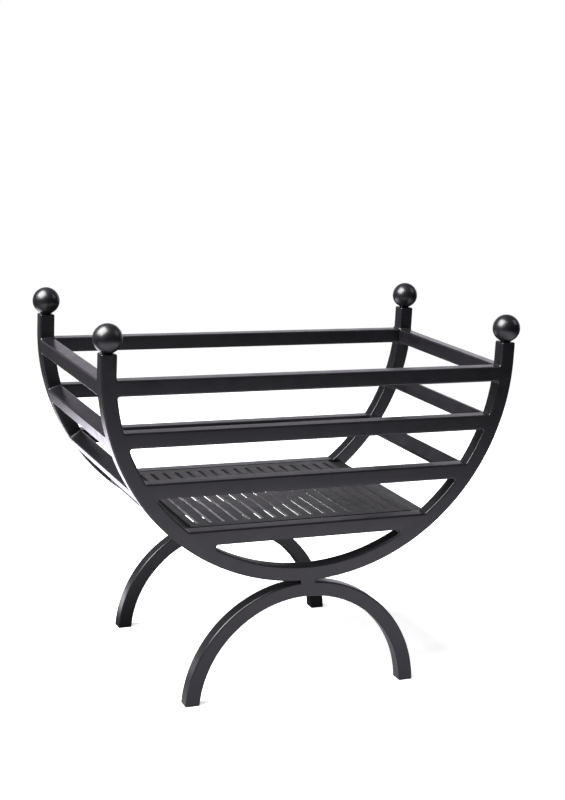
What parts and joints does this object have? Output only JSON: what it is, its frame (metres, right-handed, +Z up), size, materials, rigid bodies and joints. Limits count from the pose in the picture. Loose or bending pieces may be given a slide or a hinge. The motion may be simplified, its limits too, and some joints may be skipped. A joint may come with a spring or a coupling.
{
  "type": "firewood log rack",
  "caption": "Cradle-shaped fire basket of welded square steel bar on arched feet, with ball finials and a loose slotted grate.",
  "frame": {"origin": "on the floor, under the middle of the basket", "axes": "+Z up, front towards -Y, +X to the right of someone who faces the front"},
  "size_m": [0.4734, 0.264, 0.4026],
  "materials": {
    "frame_paint": "satin black",
    "grate_paint": "matt black, lightly grained"
  },
  "bodies": {
    "frame": {"front_arch": "frame_paint", "front_foot": "frame_paint", "front_crown_pad": "frame_paint", "front_top_rail": "frame_paint", "front_upper_rail": "frame_paint", "front_lower_rail": "frame_paint", "front_grate_rail": "frame_paint", "front_left_pin": "frame_paint", "front_left_ball": "frame_paint", "front_right_pin": "frame_paint", "front_right_ball": "frame_paint", "rear_arch": "frame_paint", "rear_foot": "frame_paint", "rear_crown_pad": "frame_paint", "rear_top_rail": "frame_paint", "rear_upper_rail": "frame_paint", "rear_lower_rail": "frame_paint", "rear_grate_rail": "frame_paint", "rear_left_pin": "frame_paint", "rear_left_ball": "frame_paint", "rear_right_pin": "frame_paint", "rear_right_ball": "frame_paint", "left_top_rail": "frame_paint", "left_middle_rail": "frame_paint", "left_lower_rail": "frame_paint", "left_grate_ledge": "grate_paint", "right_top_rail": "frame_paint", "right_middle_rail": "frame_paint", "right_lower_rail": "frame_paint", "right_grate_ledge": "grate_paint"},
    "grate": {"grate": "grate_paint"}
  },
  "joints": [
    {"name": "grate_lift", "type": "slide", "parent": "frame", "child": "grate", "axis": [0, 0, 1], "range_m": [0, 0.24]}
  ]
}
